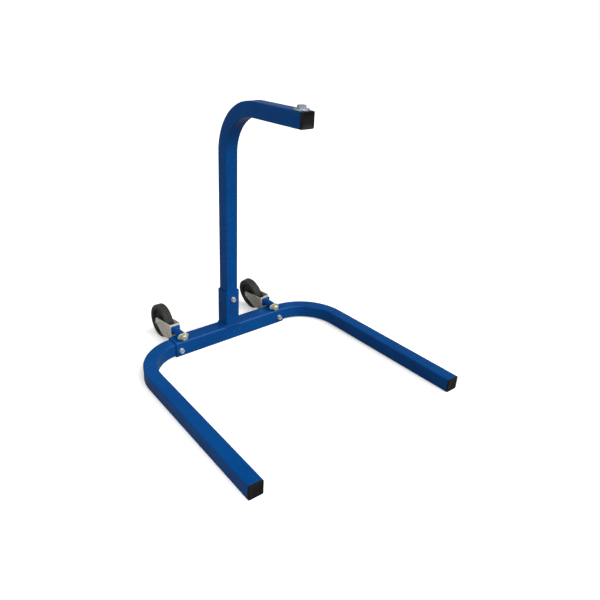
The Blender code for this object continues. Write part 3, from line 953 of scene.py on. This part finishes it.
def makeFork(side):
    low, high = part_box("left_caster_fork")
    f = forkShape
    mid = (low.x + high.x) / 2
    half = (high.x - low.x) / 2
    webY, webLow, top = low.y, f["webLow"], f["top"]
    axle = nodeCentre("left_axle_tube")
    axleY, axleZ = axle.y, axle.z
    tip = high.y - axleY
    heelY, heelZ = f["heel"]
    bellyY, bellyZ = f["belly"]

    def slope(fromY, fromZ, above):
        # Line from a corner that just touches the round tip
        dy, dz = axleY - fromY, axleZ - fromZ
        far = math.hypot(dy, dz)
        swing = math.asin(tip / far)
        angle = math.atan2(dz, dy) + (swing if above else -swing)
        return math.tan(angle), far * math.cos(swing) * math.cos(angle) + fromY

    topSlope, topTouch = slope(webY, top, True)
    lowSlope, lowTouch = slope(bellyY, bellyZ, False)

    def tipHalf(y):
        return math.sqrt(max(0.0, tip ** 2 - (y - axleY) ** 2))

    def upper(y):
        return top + topSlope * (y - webY) if y < topTouch else axleZ + tipHalf(y)

    def lower(y):
        if y > lowTouch:
            return axleZ - tipHalf(y)
        run = bellyZ + lowSlope * (y - bellyY)
        base = heelZ + (bellyZ - heelZ) * (y - heelY) / (bellyY - heelY)
        back = webLow + (heelZ - webLow) * (y - webY) / (heelY - webY)
        return -smoothLowest(smoothLowest(-run, -base, f["soft"]), -back, f["soft"])

    # Middle line of the folded strip in plan, from the left tip round the web to the right tip
    t, fold = f["wall"] / 2, f["fold"]
    reach = high.y - webY - fold
    plan = []
    for k in range(f["stepsAlong"] + 1):
        y = high.y - reach * (1 - math.cos(math.radians(90 * k / f["stepsAlong"])))
        plan.append((Vector((-half + t, y)), Vector((-1, 0))))
    for k in range(1, 9):
        a = math.radians(90 * k / 8)
        out = Vector((-math.cos(a), -math.sin(a)))
        plan.append((Vector((-half + fold, webY + fold)) + out * (fold - t), out))
    for k in range(1, 8):
        plan.append((Vector((-half + fold + (2 * half - 2 * fold) * k / 8, webY + t)), Vector((0, -1))))
    plan += [(Vector((-p.x, p.y)), Vector((-n.x, n.y))) for p, n in reversed(plan[:-7])]

    rows = f["rise"]
    bm = bmesh.new()
    grids = []
    for face in (1, -1):
        grid = []
        for point, out in plan:
            zLow, zTop = lower(point.y), upper(point.y)
            column = []
            for r in range(rows + 1):
                z = zLow + (zTop - zLow) * r / rows
                away = math.hypot(point.y - axleY, z - axleZ)
                fade = max(0.0, min(1.0, (f["pressRadius"] + f["pressSlope"] - away) / f["pressSlope"]))
                lift = f["pressing"] * eased(fade) if abs(out.x) > 0.99 else 0.0
                inset = f["edge"] if r in (0, rows) else 0.0
                p = point + out * (face * (t - inset) - lift)
                column.append(bm.verts.new((mid + p.x, p.y, z)))
            grid.append(column)
        grids.append(grid)
    outerGrid, innerGrid = grids
    for grid in grids:
        for a, b in zip(grid, grid[1:]):
            for r in range(rows):
                bm.faces.new((a[r], b[r], b[r + 1], a[r + 1]))
    for k in range(len(plan) - 1):
        for r in (0, rows):
            bm.faces.new((outerGrid[k][r], innerGrid[k][r], innerGrid[k + 1][r], outerGrid[k + 1][r]))
    for k in (0, len(plan) - 1):
        for r in range(rows):
            bm.faces.new((outerGrid[k][r], outerGrid[k][r + 1], innerGrid[k][r + 1], innerGrid[k][r]))
    bmesh.ops.dissolve_degenerate(bm, dist=0.00001, edges=bm.edges)
    piece = newPiece(side + "CasterFork", move(outward(bm), casterLean(side)), dullZinc, sharp=45)
    settle(piece, "frame", "bright_zinc", side + "_caster_fork")


brackets = {side: makeBracket(side) for side, sign in sides}
for side, sign in sides:
    makeFork(side)
print("caster brackets and forks made")


# Weld beads
weldShape = {
    "seed": 4,
    "rippleSpacing": 2.0 * mm,
    "socketBead": 4.4 * mm,
    "sleeveBead": 3.8 * mm,
    "plateBead": 2.4 * mm,
    "socketCorner": 5 * mm,
    "sleeveFoot": 9.4 * mm,     # from the sleeve's axis out to each bead beside it
}


def weldGeometry():
    # A bead along a curve: a core, and overlapping ripples of slightly different size
    tree, given = openTree("weldBead", (
        ("Bead Radius", "Float", 3 * mm), ("Ripple Spacing", "Float", 1.5 * mm), ("Seed", "Int", 1)))
    swept = sweep(tree, given["Geometry"], circleProfile(tree, 12, scaled(tree, given["Bead Radius"], 0.9)))
    spots = addNode(tree, "GeometryNodeCurveToPoints", {"mode": "LENGTH"}, links={
        "Curve": given["Geometry"], "Length": given["Ripple Spacing"]})
    ripple = addNode(tree, "GeometryNodeMeshUVSphere", inputs={"Segments": 12, "Rings": 6},
                     links={"Radius": given["Bead Radius"]})
    size = addNode(tree, "FunctionNodeRandomValue", {"data_type": "FLOAT_VECTOR"},
                   links={"Seed": given["Seed"]})
    size.inputs["Min"].default_value = (0.93, 0.93, 0.40)
    size.inputs["Max"].default_value = (1.08, 1.08, 0.52)
    laid = addNode(tree, "GeometryNodeInstanceOnPoints", links={
        "Points": spots.outputs["Points"], "Instance": ripple.outputs["Mesh"],
        "Rotation": spots.outputs["Rotation"], "Scale": size.outputs["Value"]})
    joined = addNode(tree, "GeometryNodeJoinGeometry")
    tree.links.new(swept, joined.inputs["Geometry"])
    tree.links.new(laid.outputs["Instances"], joined.inputs["Geometry"])
    real = addNode(tree, "GeometryNodeRealizeInstances", links={"Geometry": joined.outputs["Geometry"]})
    soft = addNode(tree, "GeometryNodeSetShadeSmooth", links={"Geometry": real.outputs["Geometry"]})
    return closeTree(tree, soft.outputs["Geometry"], given["Finish"])


weldTree = weldGeometry()


def weldPiece(name, paths, radius, seed):
    # Paths are (points, closed) pairs
    curve = bpy.data.curves.new(name, "CURVE")
    curve.dimensions = "3D"
    for points, closed in paths:
        spline = curve.splines.new("POLY")
        spline.points.add(len(points) - 1)
        for target, point in zip(spline.points, points):
            target.co = (*point, 1.0)
        spline.use_cyclic_u = closed
    mesh = runGeometry(name, weldTree, addObject(name + "Path", curve), {
        "Bead Radius": radius, "Ripple Spacing": weldShape["rippleSpacing"], "Seed": seed,
        "Finish": blueEnamel})
    settle(addObject(name, mesh), "frame", "blue_enamel")


def makeWelds():
    w = weldShape
    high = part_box("mast_socket")[1]
    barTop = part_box("crossbar")[1].z
    halfX, halfY = high.x + 0.8 * mm, high.y - 2.4 * mm
    loop = []
    for x, y in roundedOutline(2 * halfX, 2 * halfY, w["socketCorner"]):
        # The bead dips where the bar's rounded edges fall away in front and behind
        onSide = abs(x) / halfX
        z = 0.9 * mm if onSide > 0.98 else -1.6 * mm + 2.5 * mm * max(0.0, onSide - 0.8) / 0.18
        loop.append((x, y, barTop + z))
    dense = []
    for i, point in enumerate(loop):
        a, b = Vector(point), Vector(loop[(i + 1) % len(loop)])
        steps = max(1, round((b - a).length / (2 * mm)))
        dense += [a.lerp(b, k / steps) for k in range(steps)]
    weldPiece("socketWeld", [(dense, True)], w["socketBead"], w["seed"])
    outer = bracketShape["sleeveRadius"]
    for side, sign in sides:
        mid, axisZ, front, plateFront = brackets[side]
        lines = []
        for edge in (-1, 1):
            x = mid + edge * w["sleeveFoot"]
            lines.append(([Vector((x, front + (2.5 + 2 * i) * mm,
                                   barTop + (2.0 + 0.25 * math.sin(i * 1.7 + edge)) * mm))
                           for i in range(18)], False))
        weldPiece(side + "SleeveWeld", lines, w["sleeveBead"], w["seed"] + 1)
        turns = [math.tau * i / 40 for i in range(40)]
        ring = [Vector((mid + (outer + 0.4 * mm) * math.cos(a), plateFront - 0.3 * mm,
                        axisZ + (outer + 0.2 * mm) * math.sin(a))) for a in turns]
        ring = [p for p in ring if p.z > barTop + 1.5 * mm]
        split = max(range(len(ring)), key=lambda i: (ring[i] - ring[i - 1]).length)
        weldPiece(side + "PlateWeld", [(ring[split:] + ring[:split], False)], w["plateBead"], w["seed"] + 2)


makeWelds()
print("welds made")


# Wheels
wheelShape = {
    "shoulder": 7.0 * mm,
    "grooves": 4,
    "grooveWide": 1.5 * mm,
    "grooveDeep": 1.1 * mm,
    "bandRadius": 49.3 * mm,
    "rimWidth": 30 * mm,
    "rimDepth": 5 * mm,
    "webThick": 16 * mm,
    "bossRadius": 15 * mm,
    "bossWidth": 36 * mm,
    "bore": 9.3 * mm,
    "ribs": 12,
    "ribThick": 2.6 * mm,
    "ribInset": 3 * mm,
}


def tyreProfile(radius, width):
    # Half the outline from the bore to the middle of the tread, then mirrored
    s = wheelShape
    half, shoulder, band, rim = width / 2, s["shoulder"], s["bandRadius"], s["rimWidth"] / 2
    dip = 0.45 * mm
    out = [(band, rim), (band + 1.2 * mm, rim + 0.5 * mm), (band + 3.6 * mm, half - 0.2 * mm),
           (band + 4.0 * mm, half), (band + 5.2 * mm, half), (band + 5.6 * mm, half - dip)]
    for k in range(1, 8):
        a = math.radians(90 * k / 8)
        height = half - shoulder + shoulder * math.cos(a) - dip * (1 - k / 8)
        out.append((radius - shoulder + shoulder * math.sin(a), height))
    pitch = 2 * (half - shoulder) / s["grooves"]
    w, d = s["grooveWide"] / 2, s["grooveDeep"]
    tread = [(radius, half - shoulder)]
    for g in range(s["grooves"]):
        middle = half - shoulder - pitch * (g + 0.5)
        tread += [(radius, middle + w + 0.2 * mm), (radius - 0.25 * mm, middle + w),
                  (radius - d, middle + w * 0.55), (radius - d, middle - w * 0.55),
                  (radius - 0.25 * mm, middle - w), (radius, middle - w - 0.2 * mm)]
    tread.append((radius, -(half - shoulder)))
    return out + tread + [(r, -h) for r, h in reversed(out)]


def ribGeometry():
    # Stiffening ribs set round the wheel's disc
    tree, given = openTree("discRibs", (("Rib Count", "Int", 12), ("Circle Radius", "Float", 0.03)))
    circle = addNode(tree, "GeometryNodeMeshCircle", {"fill_type": "NONE"}, links={
        "Vertices": given["Rib Count"], "Radius": given["Circle Radius"]})
    spot = addNode(tree, "GeometryNodeInputPosition").outputs["Position"]
    aim = addNode(tree, "FunctionNodeAlignEulerToVector", {"axis": "X"}, links={"Vector": spot})
    laid = addNode(tree, "GeometryNodeInstanceOnPoints", links={
        "Points": circle.outputs["Mesh"], "Instance": given["Geometry"], "Rotation": aim.outputs["Rotation"]})
    real = addNode(tree, "GeometryNodeRealizeInstances", links={"Geometry": laid.outputs["Instances"]})
    return closeTree(tree, real.outputs["Geometry"], given["Finish"])


ribTree = ribGeometry()


def ribMesh(length, thick, halfHigh):
    # One rib along X, tapered to its edges and sunk in the middle of its length
    bm = bmesh.new()
    rings = []
    steps = 8
    edge, draft = thick / 2, thick * 0.36
    for k in range(steps + 1):
        x = -length / 2 + length * k / steps
        high = halfHigh * (0.62 + 0.38 * (2 * x / length) ** 2)
        outline = ((-edge, 0), (-draft, -high), (draft, -high), (edge, 0), (draft, high), (-draft, high))
        rings.append([Vector((x, y, z)) for y, z in outline])
    skin(bm, rings)
    outward(bm)
    mesh = bpy.data.meshes.new("rib")
    bm.to_mesh(mesh)
    bm.free()
    return addObject("rib", mesh)


def hubProfile(outer, inner):
    # Half of the hub's outline, from the bore out to the rim, then mirrored
    s = wheelShape
    bore, bossOut = s["bore"], s["bossRadius"]
    rim, web, boss = s["rimWidth"] / 2, s["webThick"] / 2, s["bossWidth"] / 2
    r = 1.2 * mm        # fillets at the web
    half = [(bore, boss - 0.5 * mm), (bore + 0.5 * mm, boss), (bossOut - 0.6 * mm, boss),
            (bossOut, boss - 0.6 * mm), (bossOut + r, web + 2 * r), (bossOut + 1.8 * mm, web + r * 0.5),
            (bossOut + 3.0 * mm, web), (inner - 3.0 * mm, web), (inner - 1.6 * mm, web + r * 0.4),
            (inner - 1.0 * mm, web + 1.6 * r), (inner, rim - 0.6 * mm), (inner + 0.6 * mm, rim),
            (outer - 0.6 * mm, rim), (outer, rim - 0.6 * mm)]
    return half + [(radius, -height) for radius, height in reversed(half)]


def makeWheel(side):
    s = wheelShape
    low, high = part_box("left_tyre")
    body = side + "_wheel"
    axis = Matrix.Rotation(math.radians(90), 4, "Y")
    placed = casterLean(side) @ Matrix.Translation((low + high) / 2) @ axis
    tyre = turnedShape(tyreProfile((high.z - low.z) / 2, high.x - low.x), 128)
    settle(newPiece(side + "Tyre", move(tyre, placed), blackRubber, sharp=50), body, "black_rubber",
           side + "_tyre")

    outer = s["bandRadius"] - clearance
    inner, bossOut = outer - s["rimDepth"], s["bossRadius"]
    hub = turnedShape(hubProfile(outer, inner), 96)
    rib = ribMesh(inner - bossOut, s["ribThick"], s["rimWidth"] / 2 - s["ribInset"])
    takeIn(hub, runGeometry("ribs", ribTree, rib, {
        "Rib Count": s["ribs"], "Circle Radius": (bossOut + inner) / 2, "Finish": hubPlastic}))
    settle(newPiece(side + "WheelHub", move(hub, placed), hubPlastic), body, "black_plastic",
           side + "_wheel_hub")

    for node, finish in ((side + "_wheel_bearing", hubPlastic), (side + "_axle_tube", brightZinc)):
        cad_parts[node].data.materials.clear()
        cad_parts[node].data.materials.append(finish)


for side, sign in sides:
    makeWheel(side)
print("wheels made")
